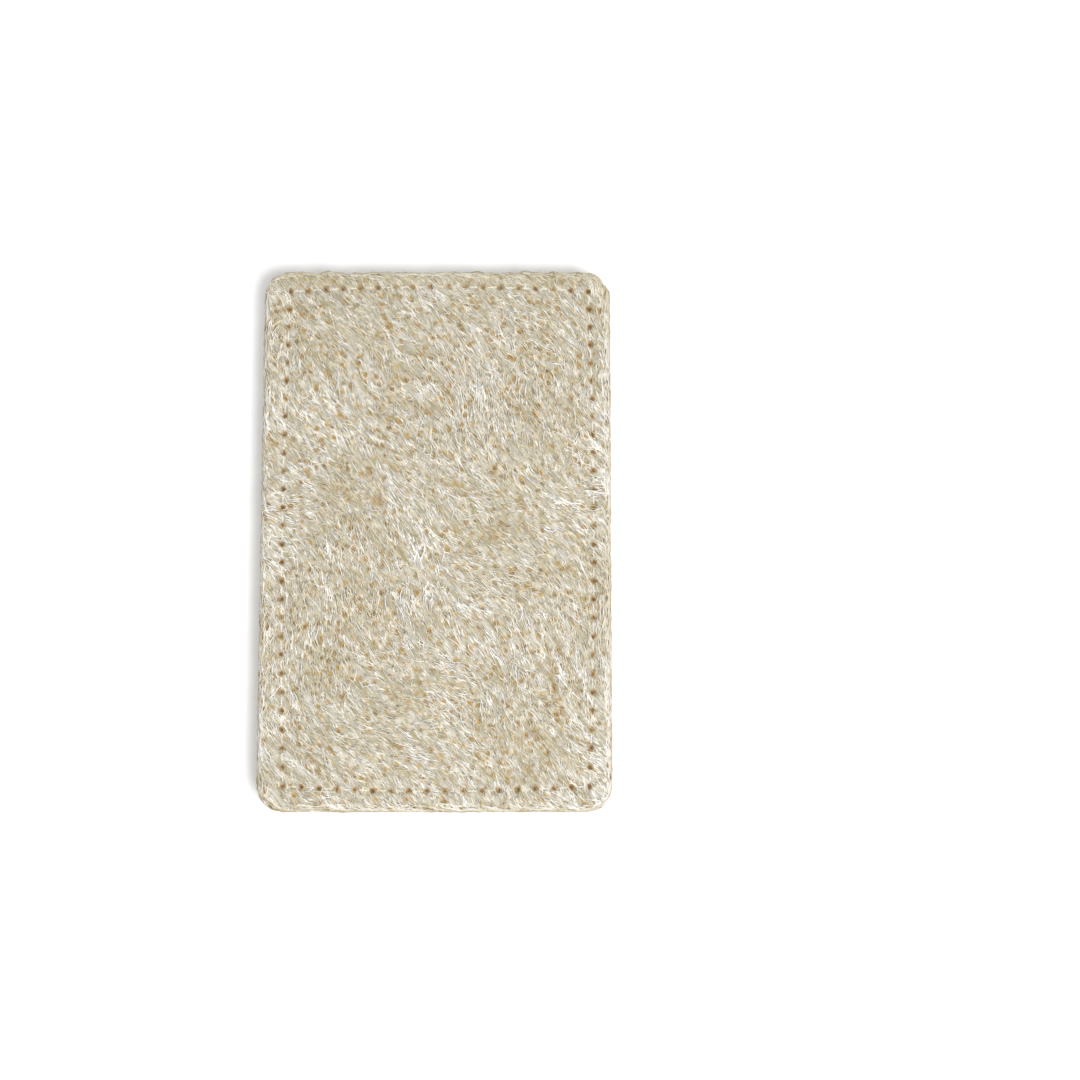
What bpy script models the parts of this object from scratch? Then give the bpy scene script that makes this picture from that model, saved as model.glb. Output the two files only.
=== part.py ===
"""A sewn loofah sponge pad: two pressed sheets of loofah, held together by a lockstitched seam.

Units are metres and +Z is up. The pad lies flat on its back sheet. Its long side runs along Y, and its
origin is under its middle, on the surface that it lies on.
"""

import math
import random
from collections import namedtuple

import bmesh
import bpy
from mathutils import Vector
from mathutils.geometry import delaunay_2d_cdt

MM = 0.001

# The pad as a whole
PAD_WIDTH = 80.0 * MM
PAD_LENGTH = 124.0 * MM
PAD_THICKNESS = 10.0 * MM
CORNER_RADIUS = 6.0 * MM
RIM_ROUND = 1.7 * MM
RIM_ROWS = 2
RIM_RIPPLE = 0.5 * MM
RIM_DIP = 0.45 * MM
CORNER_STEPS = 5
SIDE_STEP = 2.9 * MM

# Heights above the middle plane, where the two sheets meet: of a sheet's inner face, then of its outer face
MEETING_HEIGHT = 0.15 * MM
SEAM_HEIGHT = 2.45 * MM
CROWN_HEIGHT = PAD_THICKNESS / 2
FILL_REACH = 7.0 * MM
LIP_RISE = 0.55 * MM
LIP_REACH = 2.2 * MM

# The seam's corners, as insets from the pad's edges, and how far each side bows out from them
SEAM_INSET = {"left": 6.2 * MM, "right": 5.1 * MM, "bottom": 5.8 * MM, "top": 4.9 * MM}
SEAM_BOW = 1.1 * MM
STITCHES_ACROSS = 17
STITCHES_ALONG = 27

# Thread and needle holes
THREAD_RADIUS = 0.25 * MM
THREAD_CLEARANCE = 0.3 * MM
HOLE_RADIUS = 1.1 * MM
HOLE_HALF_WIDTH = 0.95 * MM
LEG_REACH = 0.6 * MM

# The raised net of fibre: cells of ridges round pits, drawn out along the grain
CELL_SPACING = 4.0 * MM
CELL_STRETCH = 1.4
GRAIN_ANGLE = math.radians(-56)
RIDGE_RISE = 0.45 * MM
PIT_DEPTH = 1.25 * MM
RISE_RANGE = (0.7, 1.0)
CELL_SHARES = {"pit": 0, "near": 1 / 3, "far": 2 / 3}
CELL_JITTER = 0.16
DRIFT = 2.2 * MM
DRIFT_WAVE = 52 * MM
EDGE_MARGIN = 0.8 * MM
SEAM_MARGIN = 1.2 * MM
CALM_REACH = 2.4 * MM
CALM_SHARE = 0.35
REST_SPOT = 6.0 * MM
FRONT_SEED = 11
BACK_SEED = 29
INSIDE_EDGES = 1
WELD_DISTANCE = 0.0001 * MM

# Colours of the dry fibre and of the cotton thread
LOOFAH = {"colour": (0.63, 0.56, 0.42, 1), "roughness": 0.85}
COTTON = {"colour": (0.80, 0.76, 0.68, 1), "roughness": 0.9}

CORNER_CENTRE = Vector((PAD_WIDTH / 2 - CORNER_RADIUS, PAD_LENGTH / 2 - CORNER_RADIUS))
SEAM_LEFT = -PAD_WIDTH / 2 + SEAM_INSET["left"]
SEAM_RIGHT = PAD_WIDTH / 2 - SEAM_INSET["right"]
SEAM_BOTTOM = -PAD_LENGTH / 2 + SEAM_INSET["bottom"]
SEAM_TOP = PAD_LENGTH / 2 - SEAM_INSET["top"]
SEAM_MIDDLE = Vector(((SEAM_LEFT + SEAM_RIGHT) / 2, (SEAM_BOTTOM + SEAM_TOP) / 2))
SEAM_HALF = Vector(((SEAM_RIGHT - SEAM_LEFT) / 2, (SEAM_TOP - SEAM_BOTTOM) / 2))

# A place on the pad's rim: the edge lies a corner's radius outward from the anchor, less the ripple that
# the ragged fibre leaves there, and the sheet's outer face sinks there by the dip
Station = namedtuple("Station", "anchor outward ripple dip")


def clear_scene():
    for obj in list(bpy.data.objects):
        bpy.data.objects.remove(obj)


def material(name, look):
    made = bpy.data.materials.new(name)
    made.use_nodes = True
    shader = made.node_tree.nodes["Principled BSDF"]
    shader.inputs["Base Color"].default_value = look["colour"]
    shader.inputs["Roughness"].default_value = look["roughness"]
    shader.inputs["Metallic"].default_value = 0
    return made


def bow(u):
    """How far a side of the seam bows out at u, which is -1 at one of its corners and 1 at the other."""
    return SEAM_BOW * (1 - u * u)


def seam_distance(point):
    """How far a point lies inside the seam, and below 0 outside it."""
    u = (point.x - SEAM_MIDDLE.x) / SEAM_HALF.x
    v = (point.y - SEAM_MIDDLE.y) / SEAM_HALF.y
    across = SEAM_HALF.x * (1 - abs(u)) + bow(v)
    along = SEAM_HALF.y * (1 - abs(v)) + bow(u)
    return min(across, along)


def rim_stations(draw):
    """Places all round the pad's rim, anticlockwise from the upper end of its right side."""
    turns = []
    for quarter in range(4):
        start = quarter * math.pi / 2
        signs = Vector((1 if quarter in (0, 3) else -1, 1 if quarter < 2 else -1))
        corner = CORNER_CENTRE * signs
        for step in range(CORNER_STEPS + 1):
            turns.append((corner, start + step / CORNER_STEPS * math.pi / 2))
        after = Vector((-corner.x, corner.y)) if quarter % 2 == 0 else Vector((corner.x, -corner.y))
        steps = round((after - corner).length / SIDE_STEP)
        for step in range(1, steps):
            turns.append((corner.lerp(after, step / steps), start + math.pi / 2))
    stations = []
    for anchor, turn in turns:
        outward = Vector((math.cos(turn), math.sin(turn)))
        stations.append(Station(anchor, outward, draw.uniform(0, RIM_RIPPLE), draw.uniform(0, RIM_DIP)))
    return stations


def rim_row(stations, inset):
    """The sheet's ragged outline, drawn this far inside its edge."""
    return [s.anchor + s.outward * (CORNER_RADIUS - s.ripple - inset) for s in stations]


def outer_height(point):
    """Height of a sheet's outer face without its net of fibre: pinched at the seam and full inside it."""
    inside = seam_distance(point)
    if inside > 0:
        fullness = 1 - math.exp(-inside / FILL_REACH)
        return SEAM_HEIGHT + (CROWN_HEIGHT - RIDGE_RISE - SEAM_HEIGHT) * fullness
    lip = min(1, -inside / LIP_REACH)
    return SEAM_HEIGHT + LIP_RISE * math.sin(lip * math.pi / 2)


def needle_holes():
    """Centres of the needle holes, anticlockwise from the seam's lower left corner."""
    sides = (
        (STITCHES_ACROSS, Vector((-1, -1)), Vector((1, -1))),
        (STITCHES_ALONG, Vector((1, -1)), Vector((1, 1))),
        (STITCHES_ACROSS, Vector((1, 1)), Vector((-1, 1))),
        (STITCHES_ALONG, Vector((-1, 1)), Vector((-1, -1))),
    )
    holes = []
    for count, start, end in sides:
        outward = (start + end) / 2
        for step in range(count):
            share = step / count
            holes.append(SEAM_MIDDLE + start.lerp(end, share) * SEAM_HALF + outward * bow(2 * share - 1))
    return holes


def needle_mouths():
    """Each needle hole's corners: ahead, left, behind and right. Where the seam turns the hole is square."""
    holes = needle_holes()
    turning = (0, STITCHES_ACROSS, STITCHES_ACROSS + STITCHES_ALONG, 2 * STITCHES_ACROSS + STITCHES_ALONG)
    mouths = []
    for k, (hole, after) in enumerate(zip(holes, holes[1:] + holes[:1])):
        ahead = (after - hole).normalized()
        left = Vector((-ahead.y, ahead.x))
        half_width = HOLE_RADIUS if k in turning else HOLE_HALF_WIDTH
        reaches = (ahead * HOLE_RADIUS, left * half_width, -ahead * HOLE_RADIUS, -left * half_width)
        mouths.append([hole + reach for reach in reaches])
    return mouths


def drift(point):
    """The slow bend of the net's lattice, which makes its rows of cells wander."""
    wave = 2 * math.pi / DRIFT_WAVE
    return DRIFT * Vector((math.sin(wave * point.y), math.sin(wave * point.x + point.y * wave / 2)))


def net_points(draw):
    """Points of the raised net as (key, place, rise): a pit in each cell, and two ridge points beside it."""
    grain = Vector((math.cos(GRAIN_ANGLE), math.sin(GRAIN_ANGLE)))
    across = Vector((-grain.y, grain.x))
    base = grain * CELL_SPACING * CELL_STRETCH ** 0.5
    slant = base / 2 + across * CELL_SPACING * math.sqrt(0.75) / CELL_STRETCH ** 0.5
    most = math.ceil(math.hypot(PAD_WIDTH, PAD_LENGTH) / CELL_SPACING)
    points = []
    for row in range(-most, most + 1):
        for column in range(-2 * most, 2 * most + 1):
            cell = base * column + slant * row
            for kind, rise in (("pit", -PIT_DEPTH), ("near", RIDGE_RISE), ("far", RIDGE_RISE)):
                place = cell + (base + slant) * CELL_SHARES[kind]
                shift = Vector((draw.uniform(-1, 1), draw.uniform(-1, 1))) * CELL_SPACING * CELL_JITTER
                place += drift(place) + shift
                points.append(((row, column, kind), place, rise * draw.uniform(*RISE_RANGE)))
    return points


def ridge_edges(net, plan):
    """The net's ridges: each far ridge point joins three near ones, if they are on its side of the seam."""
    edges = []
    for (row, column, kind), here in net.items():
        if kind != "far":
            continue
        for near in ((row, column, "near"), (row, column + 1, "near"), (row + 1, column, "near")):
            if near not in net:
                continue
            there = net[near]
            middle = (plan[here] + plan[there]) / 2
            if seam_distance(plan[here]) * seam_distance(middle) > 0:
                edges.append((here, there))
    return edges


def inside_pad(point, margin):
    """True if a point is this far inside the pad's edge, or further."""
    beyond = Vector((abs(point.x), abs(point.y))) - CORNER_CENTRE
    if beyond.x > 0 and beyond.y > 0:
        return beyond.length < CORNER_RADIUS - margin
    return max(beyond) < CORNER_RADIUS - margin


def has_room(place, holes):
    """True if a point of the net is clear of the rim, the seam line and the needle holes."""
    if not inside_pad(place, RIM_RIPPLE + RIM_ROUND + EDGE_MARGIN) or abs(seam_distance(place)) < SEAM_MARGIN:
        return False
    return min((place - hole).length for hole in holes) > HOLE_RADIUS + SEAM_MARGIN / 2


def inside_hole(point, corners):
    """True if a point lies in the four-sided hole with these corners."""
    turns = [(b - a).cross(point - a) for a, b in zip(corners, corners[1:] + corners[:1])]
    return min(turns) > 0


def sheet_plan(draw, stations):
    """The flat plan of a sheet's outer face as (points, edges, rises): its rim, holes, seam line and net."""
    points = rim_row(stations, RIM_ROUND)
    rises = [-station.dip for station in stations]
    edges = [(k, (k + 1) % len(points)) for k in range(len(points))]

    first_mouth = len(points)
    for corners in needle_mouths():
        start = len(points)
        points += corners
        edges += [(start + k, start + (k + 1) % 4) for k in range(4)]
    holes = needle_holes()
    for k, hole in enumerate(holes):
        after = (k + 1) % len(holes)
        edges += [(first_mouth + 4 * k, len(points)), (len(points), first_mouth + 4 * after + 2)]
        points.append((hole + holes[after]) / 2)
    rises += [0.0] * (len(points) - len(rises))

    net = {}
    for key, place, rise in net_points(draw):
        if has_room(place, holes):
            calm = min(1, abs(seam_distance(place)) / CALM_REACH)
            net[key] = len(points)
            points.append(place)
            rises.append(rise * (CALM_SHARE + (1 - CALM_SHARE) * calm))
    return points, edges + ridge_edges(net, points), rises


def add_outer_face(mesh, draw, stations, rest_spot):
    """The outer face, at its height above the plane where the sheets meet, and flat within the rest spot."""
    points, edges, rises = sheet_plan(draw, stations)
    places, _, triangles, sources, _, _ = delaunay_2d_cdt(points, edges, [], INSIDE_EDGES, WELD_DISTANCE)
    mouths = needle_mouths()
    corners = []
    for place, source in zip(places, sources):
        height = outer_height(place) + rises[source[0]]
        if place.length < rest_spot:
            height = CROWN_HEIGHT
        corners.append(mesh.verts.new((place.x, place.y, height)))
    for triangle in triangles:
        middle = sum((places[k] for k in triangle), Vector((0, 0))) / 3
        if not any(inside_hole(middle, mouth) for mouth in mouths):
            mesh.faces.new([corners[k] for k in triangle])


def on_mouth(edge):
    """True if an edge runs round a needle hole, and not round the pad's rim."""
    middle = (edge.verts[0].co.xy + edge.verts[1].co.xy) / 2
    return abs(seam_distance(middle)) < HOLE_RADIUS


def nearest(points, place):
    return min(range(len(points)), key=lambda k: (points[k] - place).length_squared)


def add_rim(mesh, stations):
    """The rounded rim, row by row from the outer face down to the meeting plane."""
    edges = [edge for edge in mesh.edges if edge.is_boundary and not on_mouth(edge)]
    last_row = rim_row(stations, RIM_ROUND)
    heights = [outer_height(point) - station.dip for point, station in zip(last_row, stations)]
    for row in range(RIM_ROWS - 1, -1, -1):
        angle = row / RIM_ROWS * math.pi / 2
        next_row = rim_row(stations, RIM_ROUND * (1 - math.cos(angle)))
        made = bmesh.ops.extrude_edge_only(mesh, edges=edges)["geom"]
        edges = [g for g in made if isinstance(g, bmesh.types.BMEdge) and g.is_boundary]
        for vertex in (g for g in made if isinstance(g, bmesh.types.BMVert)):
            k = nearest(last_row, vertex.co.xy)
            vertex.co = (*next_row[k], MEETING_HEIGHT + (heights[k] - MEETING_HEIGHT) * math.sin(angle))
        last_row = next_row


def add_inner_face(mesh):
    """The walls of the needle holes, then the flat face at the meeting plane."""
    edges = [edge for edge in mesh.edges if edge.is_boundary and on_mouth(edge)]
    made = bmesh.ops.extrude_edge_only(mesh, edges=edges)["geom"]
    for vertex in (g for g in made if isinstance(g, bmesh.types.BMVert)):
        vertex.co.z = MEETING_HEIGHT
    open_edges = [edge for edge in mesh.edges if edge.is_boundary]
    bmesh.ops.triangle_fill(mesh, edges=open_edges, use_beauty=True, normal=(0, 0, -1))


def fibre_sheet(name, seed, side, look):
    """One loofah sheet. side is 1 for the front sheet, which faces up, and -1 for the back sheet."""
    draw = random.Random(seed)
    stations = rim_stations(draw)
    mesh = bmesh.new()
    add_outer_face(mesh, draw, stations, 0 if side > 0 else REST_SPOT)
    add_rim(mesh, stations)
    add_inner_face(mesh)
    bmesh.ops.recalc_face_normals(mesh, faces=mesh.faces)
    for vertex in mesh.verts:
        vertex.co.z = PAD_THICKNESS / 2 + side * vertex.co.z
    if side < 0:
        bmesh.ops.reverse_faces(mesh, faces=mesh.faces)
    data = bpy.data.meshes.new(name)
    mesh.to_mesh(data)
    mesh.free()
    data.materials.append(look)
    return bpy.data.objects.new(name, data)


def seam_thread(name, side, look):
    """One of the seam's two threads: flat runs along the seam, and a dip at each hole to lock the other."""
    holes = needle_holes()
    run_height = SEAM_HEIGHT + THREAD_CLEARANCE + THREAD_RADIUS
    lock_height = MEETING_HEIGHT + THREAD_RADIUS
    points = []
    for hole, after in zip(holes, holes[1:] + holes[:1]):
        way = (after - hole).normalized()
        points.append((*hole, lock_height))
        points.append((*(hole + way * LEG_REACH), run_height))
        points.append((*(after - way * LEG_REACH), run_height))
    curve = bpy.data.curves.new(name, "CURVE")
    curve.dimensions = "3D"
    curve.bevel_depth = THREAD_RADIUS
    curve.bevel_resolution = 0
    spline = curve.splines.new("POLY")
    spline.points.add(len(points) - 1)
    spline.use_cyclic_u = True
    for point, (x, y, height) in zip(spline.points, points):
        point.co = (x, y, PAD_THICKNESS / 2 + side * height, 1)
    curve.materials.append(look)
    return bpy.data.objects.new(name, curve)


def main():
    clear_scene()
    parts = bpy.data.collections.new("loofah_sponge_pad")
    bpy.context.scene.collection.children.link(parts)
    loofah = material("loofah_fibre", LOOFAH)
    cotton = material("cotton_thread", COTTON)
    parts.objects.link(fibre_sheet("front_loofah_sheet", FRONT_SEED, 1, loofah))
    parts.objects.link(fibre_sheet("back_loofah_sheet", BACK_SEED, -1, loofah))
    parts.objects.link(seam_thread("needle_thread", 1, cotton))
    parts.objects.link(seam_thread("bobbin_thread", -1, cotton))


main()
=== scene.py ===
"""The looks of the sewn loofah pad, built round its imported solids.

Each sheet is a felted mat under a dense net of curly fibres. Both are laid out on a flat plan, which
is then wrapped over the sheet's pillow shape and round its rim. Lengths are in metres, in the frame of
the solids.
"""

import math

import bpy
import numpy as np
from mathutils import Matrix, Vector


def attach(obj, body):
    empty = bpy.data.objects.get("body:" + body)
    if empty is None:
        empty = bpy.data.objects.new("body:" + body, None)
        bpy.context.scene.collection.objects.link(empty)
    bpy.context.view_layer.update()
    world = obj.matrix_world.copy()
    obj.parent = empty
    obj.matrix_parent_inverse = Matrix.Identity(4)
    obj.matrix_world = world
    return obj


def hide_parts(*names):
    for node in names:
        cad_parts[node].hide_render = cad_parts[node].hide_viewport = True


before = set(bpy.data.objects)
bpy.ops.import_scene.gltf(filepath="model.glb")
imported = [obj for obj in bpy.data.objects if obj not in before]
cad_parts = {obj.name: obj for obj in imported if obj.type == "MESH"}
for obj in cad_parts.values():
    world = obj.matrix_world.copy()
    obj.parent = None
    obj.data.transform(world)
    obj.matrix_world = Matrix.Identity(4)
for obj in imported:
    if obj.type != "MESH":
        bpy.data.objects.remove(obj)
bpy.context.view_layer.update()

MM = 0.001

# Stand-ins for a length of nothing and for one beyond any in the pad
TINY = 1e-9
FAR = 1.0

# The side of the pad that a piece lies on
FRONT = 1
BACK = -1

# The pad, as in the solids
PAD_WIDTH = 80.0 * MM
PAD_LENGTH = 124.0 * MM
PAD_THICKNESS = 10.0 * MM
CORNER_RADIUS = 6.0 * MM
RIM_ROUND = 1.7 * MM
MEETING_HEIGHT = 0.15 * MM
SEAM_HEIGHT = 2.45 * MM
CROWN_HEIGHT = PAD_THICKNESS / 2
RIDGE_RISE = 0.45 * MM
FILL_REACH = 7.0 * MM
LIP_RISE = 0.55 * MM
LIP_REACH = 2.2 * MM
SEAM_INSET = {"left": 6.2 * MM, "right": 5.1 * MM, "bottom": 5.8 * MM, "top": 4.9 * MM}
SEAM_BOW = 1.1 * MM
STITCHES_ACROSS = 17
STITCHES_ALONG = 27
SEAM_LEFT = -PAD_WIDTH / 2 + SEAM_INSET["left"]
SEAM_RIGHT = PAD_WIDTH / 2 - SEAM_INSET["right"]
SEAM_BOTTOM = -PAD_LENGTH / 2 + SEAM_INSET["bottom"]
SEAM_TOP = PAD_LENGTH / 2 - SEAM_INSET["top"]
SEAM_MIDDLE = np.array([(SEAM_LEFT + SEAM_RIGHT) / 2, (SEAM_BOTTOM + SEAM_TOP) / 2])
SEAM_HALF = np.array([(SEAM_RIGHT - SEAM_LEFT) / 2, (SEAM_TOP - SEAM_BOTTOM) / 2])
CORNER_CENTRE = np.array([PAD_WIDTH / 2 - CORNER_RADIUS, PAD_LENGTH / 2 - CORNER_RADIUS])

# The flat plan reaches past the pad's edge by what the rim takes to curve down to the meeting plane.
# What lies beyond that may curl on by a part of the same turn
FACE_REACH = CORNER_RADIUS - RIM_ROUND
RIM_HEIGHT = SEAM_HEIGHT + LIP_RISE - MEETING_HEIGHT
RIM_ARC = math.pi / 2 * math.sqrt((RIM_ROUND ** 2 + RIM_HEIGHT ** 2) / 2)
LONGEST_TURN = 1.2
PLAN_HALF = CORNER_CENTRE + FACE_REACH + RIM_ARC

# How many plane waves make up the noise, and their lengths round the one asked for
WAVE_COUNT = 10
WAVE_SPREAD = (0.7, 1.5)

# How ragged the rim is along the top edge, and the share of that along the others
RAGGED_DEPTH = 0.2 * MM
RAGGED_LENGTH = 4 * MM
RAGGED_SHARE = 0.12
RAGGED_SEED = 31

# The felted mat under the fibres
FRONT_MAT_CELL = 0.5 * MM
BACK_MAT_CELL = 0.7 * MM
MAT_DEPTH = 0.34 * MM
MAT_RELIEF = 0.08 * MM
MAT_RELIEF_LENGTH = 1.9 * MM
MAT_RELIEF_WAVES = 20

# Pits in the net. A strip along the seam is kept clear of them, and small ones are shallower
PIT_SPACING = 1.75 * MM
PIT_JITTER = 0.42
PIT_SHARE = 0.6
PIT_RADII = (0.2 * MM, 0.56 * MM)
PIT_DEPTH = 0.3 * MM
PIT_DEPTH_SHARES = (0.15, 0.8)
SEAM_CLEAR = 1.7 * MM

# Needle holes, some of them more open than others
NEEDLE_RADIUS = 0.5 * MM
NEEDLE_DEPTH = 0.3 * MM
OPENNESS_RANGE = (0.5, 1.05)
OPENNESS_SEED = 7

# How far the dents of pits and needle holes reach in the mat, and their painted shade on the fibres, in
# radii
PIT_REACH = {"mat": 1.4, "fibres": 1.7}
NEEDLE_REACH = {"mat": 1.45, "fibres": 1.9}

# Fibres: short ones make the felt of a face, and longer ones lie in tufts over it and round the rim
FRONT_FIBRES = {"short": 29000, "long": 5000, "rim": 2400}
BACK_FIBRES = {"short": 16000, "long": 2600, "rim": 2400}
FIBRES_A_PIECE = 15000
FIBRE_SEEDS = {"short": 50, "long": 40, "rim": 30}
FIBRE_SIDES = 3
FIBRE_STEPS = {"short": 3, "long": 4, "rim": 4}
FIBRE_LENGTHS = {
    "short": (1.3 * MM, 3.4 * MM),
    "long": (2.8 * MM, 6.4 * MM),
    "rim": (2.6 * MM, 5.5 * MM),
}
FIBRE_RADII = {
    "short": (0.09 * MM, 0.17 * MM),
    "long": (0.09 * MM, 0.16 * MM),
    "rim": (0.09 * MM, 0.17 * MM),
}
FIBRE_TAPER = 0.3
LENGTH_POWER = 1.5
STAINED_SHARE = 0.12

# How high a fibre's middle lies over the mat's own level, and how far its ends dive under that
FIBRE_LIFTS = {
    "short": (0.0, 0.26 * MM),
    "long": (0.1 * MM, 0.36 * MM),
    "rim": (0.02 * MM, 0.34 * MM),
}
FIBRE_ROOT = 0.13 * MM
ROOT_POWER = 3
LIFT_JITTER = 0.02 * MM
TUFT_LAYERING = 0.4
STAINED_SINK = 0.6

# Seeds of the sheets and threads
SHEET_SEEDS = {"front": 1, "back": 2}
THREAD_SEEDS = {"needle": 3, "bobbin": 4}

# Where tufts start, and how their fibres lie in them. More places are tried than are used
TRIES = {"short": 2, "long": 2, "rim": 14}
RIM_TUFT_REACH = 0.6 * MM
TUFT_SIZE = 3
TUFT_WIDTH = 0.4 * MM
TUFT_SPREAD = 0.1
TUFT_SLIDE = 0.5
PIT_CLEARANCE = 0.3 * MM
NEEDLE_CLEARANCE = 0.5 * MM
PARTING_ROUNDS = 2

# The grain of the fibres: the waves in it, as lengths and angles, and how it turns to follow the rim
GRAIN_ANGLE = math.radians(-53)
GRAIN_WAVES = ((50 * MM, 0.24), (15 * MM, 0.12))
GRAIN_SEED = 100
RIM_TURN_REACH = 1.6 * MM
RIM_TURN = 0.75

# How far tufts stray from the grain, in radians, and how much they curl, in radians a millimetre
STRAY = 0.2
STRAY_CHANGE = 0.12
STRAY_LENGTH = 24 * MM
STRAY_LIMITS = (0.06, 0.5)
STRAY_SHARE = {"short": 1, "long": 0.7, "rim": 0.7}
STRAY_SEED = 9
CURL = 0.12
CURL_RANGE = (0.5, 1.5)

# Stitches
PLY_RADIUS = 0.13 * MM
PLY_OFFSET = 0.85 * PLY_RADIUS
PLY_TWIST = 1.2 * MM
STITCH_STEPS = 19
THREAD_SIDES = 4
THREAD_SINK = 0.23 * MM
DIP_WIDTH = 0.5 * MM
DIP_SHADE_WIDTH = 0.65 * MM

# The camera stands where the photograph's does. Pixels are of the photograph, 1080 by 1080
PHOTO_SIZE = 1080
PAD_MIDDLE_PX = (436, 538)
PAD_WIDTH_PX = 350
CAMERA_ELEVATION = math.radians(83.3)
CAMERA_DISTANCE = 0.42
SENSOR = 36.0
CLIP_START = 0.01


def linear(red, green, blue):
    """A colour given in sRGB, from 0 to 255, as linear values."""
    share = np.array([red, green, blue]) / 255
    return np.where(share <= 0.04045, share / 12.92, ((share + 0.055) / 1.055) ** 2.4)


# Amber tints stained fibres. Amber, husk and umber also serve as painted shade: in the pits, on fibres
# lying low, down the rim and in the needle holes
WHITISH = linear(249, 250, 250)
CREAM = linear(223, 218, 205)
STRAW = linear(199, 188, 155)
HUSK = linear(172, 154, 116)
AMBER = linear(183, 137, 68)
UMBER = linear(114, 67, 18)
# The mat's straw and cream are darkened: painted shade for the mat lying under the fibres
MAT_DARK = STRAW * 0.8
MAT_PALE = CREAM * 0.85

# What a fibre's tone is made of, from straw at 0 through cream to whitish at 1
OWN_TONE = 0.45
TUFT_TONE = 0.25
STREAK_TONE = 0.3
CLOUD_TONE = 0.055
CLOUD_LENGTH = 30 * MM
CLOUD_SEED = 80
TONE_MIDDLE = 0.56
TONE_CONTRAST = 1.5
THREAD_TONES = (0.6, 0.15)

# Streaks of paler and darker fibre along the grain
STREAK_CONTRAST = {"mat": 0.3, "fibres": 0.4}
STREAK_WIDTH = 2.6 * MM
STREAK_STRETCH = 5
STREAK_WAVES = 24
STREAK_BEND = 2.2 * MM
STREAK_BEND_LENGTH = 30 * MM
STREAK_SEED = 60
MAT_STREAK_SEED = 5

# How strongly each tint takes: amber in stained fibres, and painted shade: amber in pits and on fibres
# lying low, umber in needle holes, straw in the band along the top edge, and husk and amber down the rim
FIBRE_STAIN = 0.7
PIT_SHADE = 0.4
LOW_SHADE = 0.08
LOW_REACH = 0.42 * MM
NEEDLE_SHADE = 0.8
TOP_SHADE = {"mat": 0.4, "fibres": 0.38}
TOP_FADE = 1.5 * MM
RIM_POWER = 6
RIM_SHADE = {"mat": 0.5, "fibres": 0.3}
RIM_SHADE_HUSK = 0.75
RIM_SHADE_HUSK_POWER = 0.35

# Finishes. The stretch draws the grain out along the fibres
MAT_FINISH = {
    "roughness": 0.85,
    "sheen": 0.02,
    "tint_grain": 0.5,
    "grain_scale": 3200,
    "bump_scale": 4500,
    "bump_height": 0.28 * MM,
    "stretch": 12,
}
FIBRE_FINISH = {
    "roughness": 0.7,
    "sheen": 0.1,
    "tint_grain": 0.12,
    "grain_scale": 700,
    "bump_scale": 2500,
    "bump_height": 0.05 * MM,
}
THREAD_FINISH = {
    "roughness": 0.85,
    "sheen": 0.05,
    "tint_grain": 0.12,
    "grain_scale": 2500,
    "bump_scale": 6000,
    "bump_height": 0.04 * MM,
}
ROUGHNESS_SPREAD = 0.12
SPECULAR = 0.3
SHEEN_ROUGHNESS = 0.5
GRAIN_DETAIL = 5
GRAIN_LIMITS = (0.3, 0.7)
BUMP_DETAIL = 4
BUMP_STRENGTH = 0.7

# The margin round each fibre or ply in its own square patch of the texture, as a share of the patch
PATCH_MARGIN = 0.08

# The studio: each lamp's place, width in metres and power in watts
KEY_LAMP = ((0.46, -0.44, 0.95), 0.5, 11.4)
FILL_LAMP = ((-0.6, 0.5, 0.9), 1.0, 4.6)
SKY_STRENGTH = 0.46
FLOOR_SIZE = 3
FLOOR_DROP = 0.2 * MM
FLOOR_GREY = 0.97
FLOOR_ROUGHNESS = 0.9


def waves(points, wavelength, seed, count=WAVE_COUNT):
    """Smooth seeded noise of about unit spread: plane waves of many directions, of about one length."""
    draw = np.random.default_rng(seed)
    angle = draw.uniform(0, 2 * math.pi, count)
    number = 2 * math.pi / (wavelength * draw.uniform(*WAVE_SPREAD, count))
    way = np.stack([np.cos(angle), np.sin(angle)]) * number
    phase = draw.uniform(0, 2 * math.pi, count)
    return np.cos(points @ way + phase).sum(-1) * math.sqrt(2 / count)


def mix(a, b, share):
    """Each point's colour between two, from the first at a share of 0 to the second at 1."""
    return a + (b - a) * share[..., None]


def stain_and_shade(colour, tint, share):
    """Colour soaked with a tint, for real stains and for painted shade. Halfway it is richer in tint than a
    plain mix.
    """
    return colour ** (1 - share[..., None]) * tint ** share[..., None]


def bow(u):
    """How far a side of the seam bows out at u, which is -1 at one of its corners and 1 at the other."""
    return SEAM_BOW * (1 - u * u)


def seam_distance(points):
    """How far points lie inside the seam, and below 0 outside it."""
    u, v = np.moveaxis((points - SEAM_MIDDLE) / SEAM_HALF, -1, 0)
    across = SEAM_HALF[0] * (1 - np.abs(u)) + bow(v)
    along = SEAM_HALF[1] * (1 - np.abs(v)) + bow(u)
    return np.minimum(across, along)


def needle_holes():
    """Centres of the needle holes, anticlockwise from the seam's lower left corner."""
    corners = np.array([(-1, -1), (1, -1), (1, 1), (-1, 1)], float)
    holes = []
    for side in range(4):
        start, end = corners[side], corners[(side + 1) % 4]
        outward = (start + end) / 2
        count = STITCHES_ALONG if side % 2 else STITCHES_ACROSS
        for step in range(count):
            share = step / count
            chord = SEAM_MIDDLE + (start + (end - start) * share) * SEAM_HALF
            holes.append(chord + outward * bow(2 * share - 1))
    return np.array(holes)


HOLES = needle_holes()
HOLE_OPENNESS = np.random.default_rng(OPENNESS_SEED).uniform(*OPENNESS_RANGE, len(HOLES))


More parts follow.
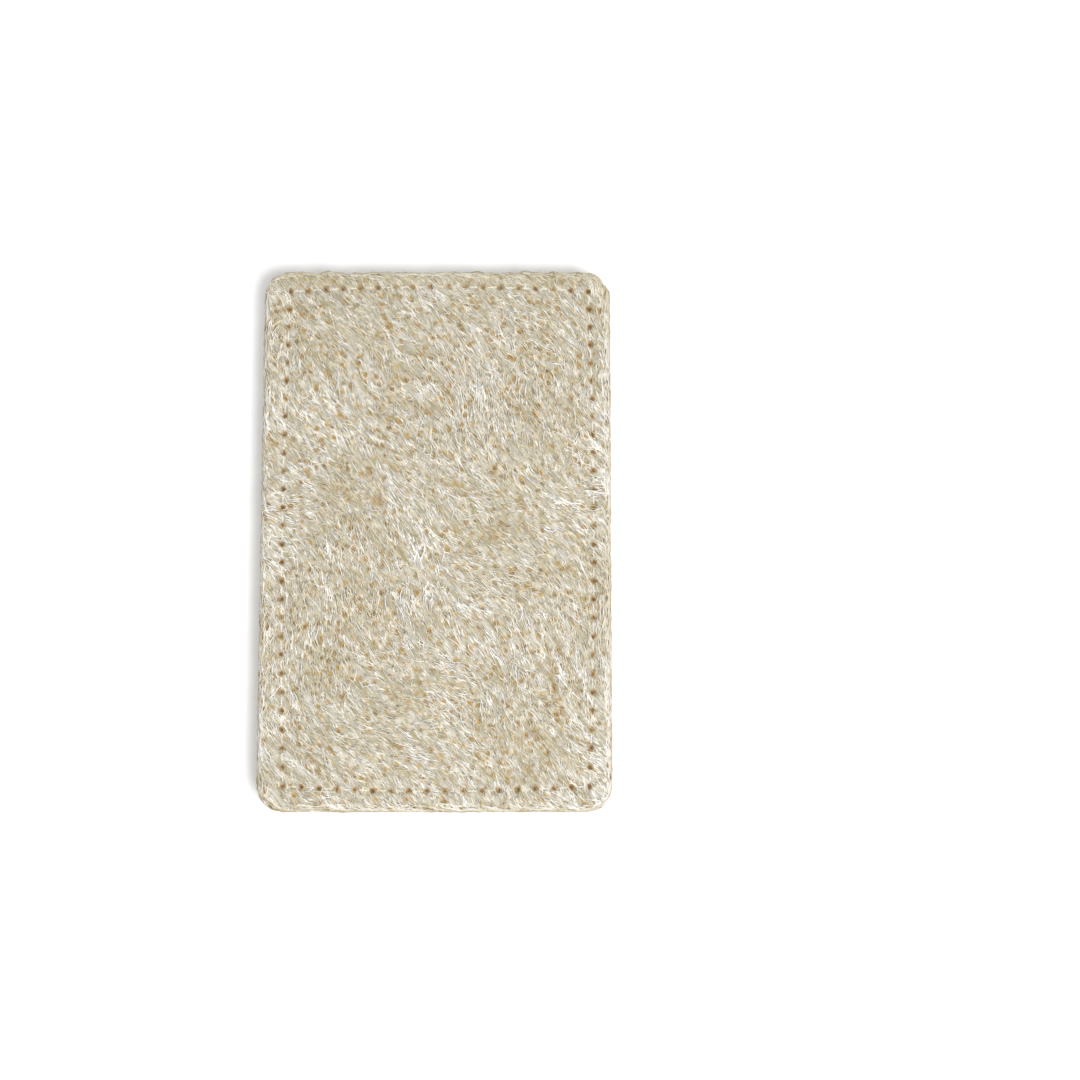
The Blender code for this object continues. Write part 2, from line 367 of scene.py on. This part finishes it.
def outer_height(points):
    """Height of a sheet's outer side above the middle plane: pinched at the seam and full inside it."""
    inside = seam_distance(points)
    fullness = 1 - np.exp(-np.maximum(inside, 0) / FILL_REACH)
    lip = np.clip(-inside / LIP_REACH, 0, 1)
    filled = SEAM_HEIGHT + (CROWN_HEIGHT - RIDGE_RISE - SEAM_HEIGHT) * fullness
    return filled + LIP_RISE * np.sin(lip * math.pi / 2)


def plan_reach(flat):
    """For points of the flat plan: the way out of the pad, and how far they lie past the corner centres."""
    beyond = np.abs(flat) - CORNER_CENTRE
    in_corner = (beyond > 0).all(-1)
    diagonal = np.linalg.norm(beyond, axis=-1)
    across = beyond[..., 0] > beyond[..., 1]
    straight = np.stack([across, ~across], -1) * np.sign(flat)
    slanted = beyond / np.maximum(diagonal, TINY)[..., None] * np.sign(flat)
    outward = np.where(in_corner[..., None], slanted, straight)
    return outward, np.where(in_corner, diagonal, beyond.max(-1))


def wrap(flat, lift):
    """Points of the flat plan, laid on the sheet and lifted off it: their places and normals there."""
    outward, reach = plan_reach(flat)
    over = np.maximum(reach - FACE_REACH, 0)
    turn = np.clip(over / RIM_ARC, 0, LONGEST_TURN) * math.pi / 2
    moved = np.where(over > 0, FACE_REACH + RIM_ROUND * np.sin(turn) - reach, 0)
    place = flat + outward * moved[..., None]
    ragged = RAGGED_DEPTH * waves(place, RAGGED_LENGTH, RAGGED_SEED) * np.clip(over / RIM_ARC, 0, 1)
    ragged = ragged * (RAGGED_SHARE + (1 - RAGGED_SHARE) * top_band(flat))
    height = outer_height(place)
    place = place + outward * ragged[..., None]
    height = MEETING_HEIGHT + (height - MEETING_HEIGHT) * np.cos(turn)
    normal = np.concatenate([outward * np.sin(turn)[..., None], np.cos(turn)[..., None]], -1)
    return np.concatenate([place, height[..., None]], -1) + normal * lift[..., None], normal


def on_side(places, side):
    """Places above the middle plane, kept under the crown, on the front or mirrored to the back."""
    top = CROWN_HEIGHT - FIBRE_RADII["short"][0]
    height = PAD_THICKNESS / 2 + side * np.minimum(places[..., 2], top)
    return np.concatenate([places[..., :2], height[..., None]], -1)


def pit_lattice(seed):
    """Pits as an array of columns and rows of (x, y, radius). A radius of 0 is no pit."""
    draw = np.random.default_rng(seed)
    columns, rows = np.ceil(2 * PLAN_HALF / PIT_SPACING).astype(int) + 2
    place = np.stack(np.meshgrid(np.arange(columns), np.arange(rows), indexing="ij"), -1) + 0.5
    place += draw.uniform(-PIT_JITTER, PIT_JITTER, place.shape)
    place = place * PIT_SPACING - PLAN_HALF - PIT_SPACING
    radius = draw.uniform(*PIT_RADII, place.shape[:2])
    kept = (draw.random(place.shape[:2]) < PIT_SHARE) & (np.abs(seam_distance(place)) > SEAM_CLEAR)
    return np.concatenate([place, (radius * kept)[..., None]], -1)


def nearest_pit(flat, pits):
    """Each point's nearest pit, as (centre, radius, distance)."""
    cell = np.floor((flat + PLAN_HALF + PIT_SPACING) / PIT_SPACING).astype(int)
    centre = np.zeros_like(flat)
    radius = np.zeros(flat.shape[:-1])
    gap = np.full(flat.shape[:-1], FAR)
    for column in (-1, 0, 1):
        for row in (-1, 0, 1):
            i = np.clip(cell[..., 0] + column, 0, pits.shape[0] - 1)
            j = np.clip(cell[..., 1] + row, 0, pits.shape[1] - 1)
            pit = pits[i, j]
            distance = np.linalg.norm(flat - pit[..., :2], axis=-1)
            nearer = (pit[..., 2] > 0) & (distance < gap)
            centre = np.where(nearer[..., None], pit[..., :2], centre)
            radius = np.where(nearer, pit[..., 2], radius)
            gap = np.where(nearer, distance, gap)
    return centre, radius, gap


def nearest_hole(flat):
    """Each point's nearest needle hole, as (centre, openness, distance)."""
    distances = np.linalg.norm(flat[..., None, :] - HOLES, axis=-1)
    found = distances.argmin(-1)
    return HOLES[found], HOLE_OPENNESS[found], distances.min(-1)


def dent(distance, radius, reach):
    """From 0 to 1, how deep points lie in a round dent that ends at the reach, given in radii."""
    return np.clip(reach - distance / np.maximum(radius, TINY), 0, 1) * (radius > 0)


def part_round(flat, centre, radius, distance, reach):
    """Points pushed out of holes: what lies within reach of a centre moves out past the radius."""
    push = np.clip(radius + distance * (1 - radius / reach) - distance, 0, None) * (distance < reach)
    return flat + (flat - centre) / np.maximum(distance, TINY)[..., None] * push[..., None]


def flow(flat, seed):
    """The angle at which the fibres lie: along the grain on the face, and along the edge at the rim."""
    angle = GRAIN_ANGLE
    for k, (length, swing) in enumerate(GRAIN_WAVES):
        angle = angle + swing * waves(flat, length, seed + k)
    outward, reach = plan_reach(flat)
    tangent = np.arctan2(outward[..., 0], -outward[..., 1])
    turn = (tangent - angle + math.pi / 2) % math.pi - math.pi / 2
    return angle + turn * np.clip((reach - FACE_REACH) / RIM_TURN_REACH, 0, RIM_TURN)


def streaks(flat, seed, contrast):
    """Noise from 0 to 1, drawn out along the grain, for streaks of paler and darker fibre."""
    bend = STREAK_BEND * waves(flat, STREAK_BEND_LENGTH, seed)
    along = flat @ np.array([math.cos(GRAIN_ANGLE), math.sin(GRAIN_ANGLE)])
    across = flat @ np.array([-math.sin(GRAIN_ANGLE), math.cos(GRAIN_ANGLE)]) + bend
    drawn_out = np.stack([along / STREAK_STRETCH, across], -1)
    return np.clip(0.5 + contrast * waves(drawn_out, STREAK_WIDTH, seed + 1, STREAK_WAVES), 0, 1)


def top_band(flat):
    """From 0 to 1, the strip between the seam and the pad's top edge, painted darker and yellower as shade.
    """
    return np.clip((flat[..., 1] - SEAM_TOP) / TOP_FADE, 0, 1)


def rim_shade_mask(flat):
    """From 0 on the face to 1 where the two sheets meet, for the painted shade of husk and amber down the
    rim.
    """
    _, reach = plan_reach(flat)
    return np.clip((reach - FACE_REACH) / RIM_ARC, 0, 1) ** RIM_POWER


def rings(paths, normals, radii, sides, cyclic=False):
    """Rings of points round paths, paths by steps by sides by 3. Paths is paths by steps by 3."""
    if cyclic:
        tangent = np.roll(paths, -1, 1) - np.roll(paths, 1, 1)
    else:
        tangent = np.gradient(paths, axis=1)
    tangent /= np.maximum(np.linalg.norm(tangent, axis=-1, keepdims=True), TINY)
    beside = np.cross(tangent, normals)
    beside /= np.maximum(np.linalg.norm(beside, axis=-1, keepdims=True), TINY)
    above = np.cross(beside, tangent)
    angle = math.pi / 2 + np.arange(sides) * 2 * math.pi / sides
    ring = above[:, :, None] * np.sin(angle)[:, None] + beside[:, :, None] * np.cos(angle)[:, None]
    return paths[:, :, None] + ring * radii[..., None, None]


def patches(corners, count):
    """Texture places for many alike shapes, each in its own square patch, from the corners of one."""
    columns = math.ceil(math.sqrt(count))
    patch = np.stack([np.arange(count) % columns, np.arange(count) // columns], -1)[:, None]
    inset = PATCH_MARGIN + (1 - 2 * PATCH_MARGIN) * np.array(corners)
    return ((patch + inset) / columns).reshape(-1, 2)


def spindles(paths, normals, radii):
    """Fibres pointed at both ends: points, faces, texture places, and each point's step of the path."""
    count, steps = paths.shape[:2]
    sides = FIBRE_SIDES
    round_path = rings(paths, normals, radii, sides)[:, 1:-1].reshape(count, -1, 3)
    points = np.concatenate([paths[:, :1], round_path, paths[:, -1:]], 1)
    last = points.shape[1] - 1
    shape, corners = [], []
    for k in range(steps - 1):
        here, there = 1 + (k - 1) * sides, 1 + k * sides
        near, far = k / (steps - 1), (k + 1) / (steps - 1)
        for s in range(sides):
            after = (s + 1) % sides
            left, right = s / sides, (s + 1) / sides
            if k == 0:
                shape.append((0, there + s, there + after))
                corners += [(near, (left + right) / 2), (far, left), (far, right)]
            elif k == steps - 2:
                shape.append((here + s, last, here + after))
                corners += [(near, left), (far, (left + right) / 2), (near, right)]
            else:
                shape.append((here + s, there + s, there + after, here + after))
                corners += [(near, left), (far, left), (far, right), (near, right)]
    firsts = range(0, count * (last + 1), last + 1)
    faces = [[first + corner for corner in face] for first in firsts for face in shape]
    at_step = np.repeat(np.arange(steps), [1] + [sides] * (steps - 2) + [1])
    return points.reshape(-1, 3), faces, patches(corners, count), at_step


def loops(paths, normals, radii, sides):
    """Closed tubes along paths that come back to their start: points, faces and texture places."""
    count, steps = paths.shape[:2]
    points = rings(paths, normals, radii, sides, cyclic=True).reshape(-1, 3)
    first = (np.arange(count) * steps * sides)[:, None, None]
    here = np.arange(steps)[None, :, None] * sides
    there = np.roll(here, -1, 1)
    side = np.arange(sides)[None, None, :]
    after = (side + 1) % sides
    faces = np.stack([here + side, there + side, there + after, here + after], -1) + first[..., None]
    low = np.stack(np.broadcast_arrays(here[0] / sides / steps, side[0] / sides), -1)
    span = np.array([(0, 0), (1 / steps, 0), (1 / steps, 1 / sides), (0, 1 / sides)])
    corners = (low[:, :, None] + span).reshape(-1, 2)
    return points, faces.reshape(-1, 4).tolist(), patches(corners, count)


def mesh_piece(name, points, faces, colours, material, node, uvs=None):
    """A piece of the scene that stands for a solid, with a colour at each of its points."""
    mesh = bpy.data.meshes.new(name)
    mesh.from_pydata(points.tolist(), [], faces)
    mesh.shade_smooth()
    tint = mesh.color_attributes.new("tint", "FLOAT_COLOR", "POINT")
    tint.data.foreach_set("color", np.concatenate([colours, np.ones((len(colours), 1))], 1).ravel())
    if uvs is not None:
        mesh.uv_layers.new(name="OFBake").uv.foreach_set("vector", uvs.ravel())
    mesh.materials.append(material)
    piece = bpy.data.objects.new(name, mesh)
    bpy.context.scene.collection.objects.link(piece)
    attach(piece, "root")
    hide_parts(node)
    return piece


def finish_material(name, roughness, sheen, tint_grain, grain_scale, bump_scale, bump_height, stretch=1):
    """A matt finish in the tint of the mesh's points, with a fine grain in its colour, gloss and relief."""
    made = bpy.data.materials.new(name)
    made.use_nodes = True
    tree = made.node_tree
    shader = tree.nodes["Principled BSDF"]
    shader.inputs["Specular IOR Level"].default_value = SPECULAR
    shader.inputs["Sheen Weight"].default_value = sheen
    shader.inputs["Sheen Roughness"].default_value = SHEEN_ROUGHNESS

    def node(kind, **values):
        new = tree.nodes.new(kind)
        for key, value in values.items():
            setattr(new, key, value)
        return new

    lay = node("ShaderNodeMapping", vector_type="TEXTURE")
    lay.inputs["Rotation"].default_value = (0, 0, GRAIN_ANGLE)
    lay.inputs["Scale"].default_value = (stretch, 1, 1)
    tree.links.new(node("ShaderNodeTexCoord").outputs["Object"], lay.inputs["Vector"])
    place = lay.outputs["Vector"]
    tint = node("ShaderNodeAttribute", attribute_name="tint").outputs["Color"]
    grain = node("ShaderNodeTexNoise")
    grain.inputs["Scale"].default_value = grain_scale
    grain.inputs["Detail"].default_value = GRAIN_DETAIL
    tree.links.new(place, grain.inputs["Vector"])
    shade = node("ShaderNodeMapRange")
    shade.inputs["From Min"].default_value = GRAIN_LIMITS[0]
    shade.inputs["From Max"].default_value = GRAIN_LIMITS[1]
    shade.inputs["To Min"].default_value = 1 - tint_grain
    shade.inputs["To Max"].default_value = 1 + tint_grain / 2
    tree.links.new(grain.outputs["Fac"], shade.inputs["Value"])
    shaded = node("ShaderNodeVectorMath", operation="SCALE")
    tree.links.new(tint, shaded.inputs[0])
    tree.links.new(shade.outputs["Result"], shaded.inputs["Scale"])
    tree.links.new(shaded.outputs["Vector"], shader.inputs["Base Color"])

    gloss = node("ShaderNodeMapRange")
    gloss.inputs["To Min"].default_value = roughness - ROUGHNESS_SPREAD
    gloss.inputs["To Max"].default_value = roughness + ROUGHNESS_SPREAD
    tree.links.new(grain.outputs["Fac"], gloss.inputs["Value"])
    tree.links.new(gloss.outputs["Result"], shader.inputs["Roughness"])

    fine = node("ShaderNodeTexNoise")
    fine.inputs["Scale"].default_value = bump_scale
    fine.inputs["Detail"].default_value = BUMP_DETAIL
    tree.links.new(place, fine.inputs["Vector"])
    bump = node("ShaderNodeBump")
    bump.inputs["Distance"].default_value = bump_height
    bump.inputs["Strength"].default_value = BUMP_STRENGTH
    tree.links.new(fine.outputs["Fac"], bump.inputs["Height"])
    tree.links.new(bump.outputs["Normal"], shader.inputs["Normal"])
    return made


def mat_plan(cell, pits):
    """The mat's grid on the flat plan, columns by rows by 2, with a grid point at every dent's middle."""
    counts = np.round(2 * PLAN_HALF / cell).astype(int)
    axes = [np.linspace(-half, half, count + 1) for half, count in zip(PLAN_HALF, counts)]
    flat = np.stack(np.meshgrid(*axes, indexing="ij"), -1)
    beyond = np.maximum(np.abs(flat) - CORNER_CENTRE, 0)
    squeeze = beyond.max(-1) / np.maximum(np.linalg.norm(beyond, axis=-1), TINY)
    rounded = np.sign(flat) * (CORNER_CENTRE + beyond * squeeze[..., None])
    in_corner = (beyond > 0).all(-1)
    flat = np.where(in_corner[..., None], rounded, flat)

    spots = np.concatenate([pits[pits[..., 2] > 0][:, :2], HOLES])
    spots = spots[(np.abs(spots) < CORNER_CENTRE).any(-1) & (np.abs(spots) < PLAN_HALF).all(-1)]
    nearest = np.clip(np.rint((spots / PLAN_HALF + 1) / 2 * counts).astype(int), 1, counts - 1)
    flat[nearest[:, 0], nearest[:, 1]] = spots
    return flat


def mat(name, side, cell, seed, pits, material, node):
    """The felted mat that shows between a sheet's fibres, pitted where the net is open."""
    flat = mat_plan(cell, pits)
    _, radius, distance = nearest_pit(flat, pits)
    shallowest, by_size = PIT_DEPTH_SHARES
    pit = dent(distance, radius, PIT_REACH["mat"]) * (shallowest + by_size * (radius / PIT_RADII[1]) ** 2)
    _, openness, distance = nearest_hole(flat)
    hole = dent(distance, NEEDLE_RADIUS, NEEDLE_REACH["mat"]) * openness
    lift = -MAT_DEPTH + MAT_RELIEF * waves(flat, MAT_RELIEF_LENGTH, seed, MAT_RELIEF_WAVES)
    lift -= PIT_DEPTH * pit + NEEDLE_DEPTH * hole
    places, _ = wrap(flat, lift)
    points = on_side(places, side).reshape(-1, 3)

    columns, rows = flat.shape[:2]
    index = np.arange(columns * rows).reshape(columns, rows)
    quads = np.stack([index[:-1, :-1], index[1:, :-1], index[1:, 1:], index[:-1, 1:]], -1).reshape(-1, 4)
    edge = np.concatenate([index[:-1, 0], index[-1, :-1], index[:0:-1, -1], index[0, :0:-1]])
    if side == BACK:
        quads = quads[:, ::-1]
        edge = edge[::-1]
    faces = quads.tolist() + [edge[::-1].tolist()]

    streak = streaks(flat, seed + MAT_STREAK_SEED, STREAK_CONTRAST["mat"])
    colour = mix(MAT_DARK, MAT_PALE, streak)
    # Painted shade: amber in the pits and umber in the needle holes
    colour = stain_and_shade(stain_and_shade(colour, AMBER, pit), UMBER, hole)
    # Painted shade: darker along the band by the top edge
    colour = mix(colour, MAT_DARK, TOP_SHADE["mat"] * top_band(flat))
    # Painted shade: amber down the rim to where the sheets meet
    colour = stain_and_shade(colour, AMBER, RIM_SHADE["mat"] * rim_shade_mask(flat))
    return mesh_piece(name, points, faces, colour.reshape(-1, 3), material, node)


def tuft_starts(count, kind, draw):
    """Where tufts of fibre start on the flat plan: all over it, or only round the rim."""
    flat = draw.uniform(-1, 1, (count * TRIES[kind], 2)) * PLAN_HALF
    _, reach = plan_reach(flat)
    kept = reach < FACE_REACH + RIM_ARC
    if kind == "rim":
        kept &= reach > FACE_REACH - RIM_TUFT_REACH
    return flat[kept][:count]


def fibre_paths(count, kind, draw, grain_seed):
    """Fibres on the flat plan, fibres by steps by 2. Each tuft's fibres lie side by side and curl alike."""
    start = tuft_starts(count // TUFT_SIZE, kind, draw)
    tufts = len(start)
    stray = STRAY + STRAY_CHANGE * waves(start, STRAY_LENGTH, grain_seed + STRAY_SEED)
    stray = np.clip(stray, *STRAY_LIMITS) * draw.normal(0, STRAY_SHARE[kind], tufts)
    heading = flow(start, grain_seed) + stray + math.pi * draw.integers(0, 2, tufts)
    curl = draw.normal(0, CURL, tufts) / MM

    each = np.repeat(np.arange(tufts), TUFT_SIZE)
    count = len(each)
    shortest, longest = FIBRE_LENGTHS[kind]
    ahead = np.stack([np.cos(heading), np.sin(heading)], -1)[each]
    beside = ahead[:, ::-1] * (-1, 1)
    flat = start[each] + beside * (draw.uniform(-1, 1, count) * TUFT_WIDTH)[:, None]
    flat = flat + ahead * (draw.uniform(-1, 1, count) * shortest * TUFT_SLIDE)[:, None]
    heading = heading[each] + TUFT_SPREAD * draw.normal(0, 1, count)
    length = shortest + (longest - shortest) * draw.random(count) ** LENGTH_POWER
    stride = length / FIBRE_STEPS[kind]
    path = [flat]
    for _ in range(FIBRE_STEPS[kind]):
        path.append(path[-1] + stride[:, None] * np.stack([np.cos(heading), np.sin(heading)], -1))
        heading = heading + curl[each] * stride * draw.uniform(*CURL_RANGE, count)
    return np.stack(path, 1)


def part_fibres(flat, tuft, pits):
    """Fibres led round the pits and needle holes, less those that still lie across a needle hole."""
    for _ in range(PARTING_ROUNDS):
        centre, radius, distance = nearest_pit(flat, pits)
        flat = part_round(flat, centre, radius, distance, radius + PIT_CLEARANCE)
        centre, openness, distance = nearest_hole(flat)
        reach = NEEDLE_RADIUS + NEEDLE_CLEARANCE
        flat = part_round(flat, centre, NEEDLE_RADIUS * openness, distance, reach)
    _, openness, distance = nearest_hole((flat[:, 1:] + flat[:, :-1]) / 2)
    clear = (distance > NEEDLE_RADIUS * openness).all(-1)
    return flat[clear], tuft[clear]


def fibre_colours(flat, lift, tone, stained, pits):
    """Colours along fibres, fibres by steps by 3. Tone and stained have one value a fibre."""
    along = np.ones(flat.shape[:2])
    tone = tone[:, None] * along
    colour = mix(STRAW, CREAM, np.clip(tone * 2, 0, 1))
    colour = mix(colour, WHITISH, np.clip(tone * 2 - 1, 0, 1))
    colour = stain_and_shade(colour, AMBER, FIBRE_STAIN * stained[:, None] * along)
    # Painted shade: amber on fibres lying low, most beside the pits
    low = np.clip(1 - lift / LOW_REACH, 0, 1)
    _, radius, distance = nearest_pit(flat, pits)
    pit_side = dent(distance, radius, PIT_REACH["fibres"])
    colour = stain_and_shade(colour, AMBER, PIT_SHADE * pit_side * low + LOW_SHADE * low ** 2)
    # Painted shade: umber on fibres lying low beside the needle holes
    _, openness, distance = nearest_hole(flat)
    hole_side = dent(distance, NEEDLE_RADIUS, NEEDLE_REACH["fibres"]) * openness
    colour = stain_and_shade(colour, UMBER, NEEDLE_SHADE * hole_side * low)
    # Painted shade: darker and yellower along the band by the top edge
    colour = mix(colour, STRAW, TOP_SHADE["fibres"] * top_band(flat))
    # Painted shade: husk and amber down the rim to where the sheets meet
    colour = mix(colour, HUSK, RIM_SHADE_HUSK * rim_shade_mask(flat) ** RIM_SHADE_HUSK_POWER)
    return stain_and_shade(colour, AMBER, RIM_SHADE["fibres"] * rim_shade_mask(flat))


def fibre_net(name, count, kind, side, seed, pits, material, node):
    """A piece of the fibre net on a sheet."""
    draw = np.random.default_rng(seed)
    flat = fibre_paths(count, kind, draw, GRAIN_SEED + side)
    tuft = np.repeat(draw.random(len(flat) // TUFT_SIZE), TUFT_SIZE)
    flat, tuft = part_fibres(flat, tuft, pits)
    count = len(flat)

    share = np.linspace(-1, 1, FIBRE_STEPS[kind] + 1)
    stained = (draw.random(count) < STAINED_SHARE) & (kind == "short")
    layer = TUFT_LAYERING * tuft + (1 - TUFT_LAYERING) * draw.random(count)
    layer = layer * (1 - STAINED_SINK * stained)
    lowest, highest = FIBRE_LIFTS[kind]
    lift = (lowest + (highest - lowest) * layer)[:, None]
    lift = lift - (lift + FIBRE_ROOT) * np.abs(share) ** ROOT_POWER
    lift = lift + draw.normal(0, LIFT_JITTER, flat.shape[:2])
    places, normals = wrap(flat, lift - MAT_DEPTH)
    radii = draw.uniform(*FIBRE_RADII[kind], count)[:, None] * (1 - FIBRE_TAPER * share ** 2)

    middle = flat[:, 1]
    streak = streaks(middle, STREAK_SEED + side, STREAK_CONTRAST["fibres"])
    cloud = waves(middle, CLOUD_LENGTH, CLOUD_SEED + side)
    tone = OWN_TONE * draw.random(count) + TUFT_TONE * tuft + STREAK_TONE * streak + CLOUD_TONE * cloud
    tone = np.clip(TONE_MIDDLE + TONE_CONTRAST * (tone - 0.5), 0, 1)
    colour = fibre_colours(flat, lift, tone, stained, pits)

    places = on_side(places, side)
    normals = normals * np.array([1, 1, side])
    points, faces, uvs, at_step = spindles(places, normals, radii)
    colours = colour[:, at_step].reshape(-1, 3)
    return mesh_piece(name, points, faces, colours, material, node, uvs)


def stitches(label, side, material):
    """A thread of the seam: two twisted plies that run over the fibre and dip into each needle hole."""
    share = np.arange(STITCH_STEPS) / STITCH_STEPS
    ahead = np.roll(HOLES, -1, 0) - HOLES
    flat = (HOLES[:, None] + ahead[:, None] * share[:, None]).reshape(-1, 2)
    stride = np.linalg.norm(ahead, axis=1)[:, None]
    from_hole = (np.minimum(share, 1 - share) * stride).ravel()
    rise = 1 - np.exp(-(from_hole / DIP_WIDTH) ** 2)
    lock = MEETING_HEIGHT + 2 * PLY_RADIUS
    run = outer_height(flat) - THREAD_SINK
    places = np.concatenate([flat, (lock + (run - lock) * rise)[:, None]], 1)

    step = np.roll(places, -1, 0) - places
    walked = np.cumsum(np.linalg.norm(step, axis=1))
    turns = round(walked[-1] / PLY_TWIST)
    twist = 2 * math.pi * turns * walked / walked[-1]
    tangent = step / np.linalg.norm(step, axis=1)[:, None]
    normal = np.cross(np.cross(tangent, (0, 0, 1.0)), tangent)
    normal /= np.maximum(np.linalg.norm(normal, axis=1), TINY)[:, None]
    beside = np.cross(tangent, normal)
    plies = []
    for ply in (0, math.pi):
        offset = normal * np.cos(twist + ply)[:, None] + beside * np.sin(twist + ply)[:, None]
        plies.append(places + offset * PLY_OFFSET)
    paths = on_side(np.stack(plies), side)
    normals = np.stack([normal, normal]) * np.array([1, 1, side])
    radii = np.full(paths.shape[:2], PLY_RADIUS)
    points, faces, uvs = loops(paths, normals, radii, THREAD_SIDES)
    draw = np.random.default_rng(THREAD_SEEDS[label])
    tone = np.clip(draw.normal(*THREAD_TONES, len(points)), 0, 1)
    # Painted shade: the plies darken with umber where they dip into the needle holes
    dip_shade = np.exp(-(from_hole / DIP_SHADE_WIDTH) ** 2)[None, :, None]
    dip_shade = dip_shade * np.ones((len(plies), 1, THREAD_SIDES))
    colours = stain_and_shade(mix(STRAW, WHITISH, tone), UMBER, dip_shade.ravel())
    node = f"{label}_thread"
    return mesh_piece(f"{label}_stitches", points, faces, colours, material, node, uvs)


def build_sheet(label, side, cell, fibres, mat_finish, fibre_finish):
    """All of one loofah sheet: its mat and every kind of fibre over it."""
    node = f"{label}_loofah_sheet"
    seed = SHEET_SEEDS[label]
    pits = pit_lattice(seed)
    mat(f"{label}_mat", side, cell, seed + 1, pits, mat_finish, node)
    for kind, count in fibres.items():
        pieces = math.ceil(count / FIBRES_A_PIECE)
        for k in range(pieces):
            name = f"{label}_{kind}_fibres_{k + 1}"
            fibre_seed = seed + FIBRE_SEEDS[kind] + k
            fibre_net(name, count // pieces, kind, side, fibre_seed, pits, fibre_finish, node)


def floor():
    """A plain pale floor just under the pad."""
    bpy.ops.mesh.primitive_plane_add(size=FLOOR_SIZE, location=(0, 0, -FLOOR_DROP))
    plane = bpy.context.object
    plane.name = "floor"
    made = bpy.data.materials.new("pale_floor")
    made.use_nodes = True
    shader = made.node_tree.nodes["Principled BSDF"]
    shader.inputs["Base Color"].default_value = (FLOOR_GREY, FLOOR_GREY, FLOOR_GREY, 1)
    shader.inputs["Roughness"].default_value = FLOOR_ROUGHNESS
    plane.data.materials.append(made)


def lamp(name, place, size, power):
    """A soft square studio lamp that shines at the pad."""
    light = bpy.data.lights.new(name, "AREA")
    light.size = size
    light.energy = power
    lamp_object = bpy.data.objects.new(name, light)
    lamp_object.location = place
    lamp_object.rotation_euler = Vector(place).to_track_quat("Z", "Y").to_euler()
    bpy.context.scene.collection.objects.link(lamp_object)


def lights():
    """A key lamp from the lower right, a wide fill lamp across from it, and an even white sky."""
    lamp("key", *KEY_LAMP)
    lamp("fill", *FILL_LAMP)
    world = bpy.data.worlds.new("studio")
    world.use_nodes = True
    world.node_tree.nodes["Background"].inputs["Color"].default_value = (1, 1, 1, 1)
    world.node_tree.nodes["Background"].inputs["Strength"].default_value = SKY_STRENGTH
    bpy.context.scene.world = world
    bpy.context.scene.view_settings.view_transform = "Standard"


def camera():
    """The photograph's camera: nearly overhead, with the pad left of the frame's middle."""
    lens = bpy.data.cameras.new("camera")
    scale = PAD_WIDTH_PX / PAD_WIDTH
    lens.sensor_width = SENSOR
    lens.lens = SENSOR * CAMERA_DISTANCE * scale / PHOTO_SIZE
    lens.clip_start = CLIP_START
    seen = bpy.data.objects.new("camera", lens)
    away = Vector((0, -math.cos(CAMERA_ELEVATION), math.sin(CAMERA_ELEVATION)))
    aside = (PHOTO_SIZE / 2 - PAD_MIDDLE_PX[0]) / scale
    down = (PAD_MIDDLE_PX[1] - PHOTO_SIZE / 2) / scale
    target = Vector((aside, down, PAD_THICKNESS / 2))
    seen.location = target + away * CAMERA_DISTANCE
    seen.rotation_euler = away.to_track_quat("Z", "Y").to_euler()
    bpy.context.scene.collection.objects.link(seen)
    bpy.context.scene.camera = seen


camera()
lights()
floor()
mat_finish = finish_material("loofah_mat_finish", **MAT_FINISH)
fibre_finish = finish_material("loofah_fibre_finish", **FIBRE_FINISH)
thread_finish = finish_material("cotton_thread_finish", **THREAD_FINISH)
build_sheet("front", FRONT, FRONT_MAT_CELL, FRONT_FIBRES, mat_finish, fibre_finish)
build_sheet("back", BACK, BACK_MAT_CELL, BACK_FIBRES, mat_finish, fibre_finish)
stitches("needle", FRONT, thread_finish)
stitches("bobbin", BACK, thread_finish)
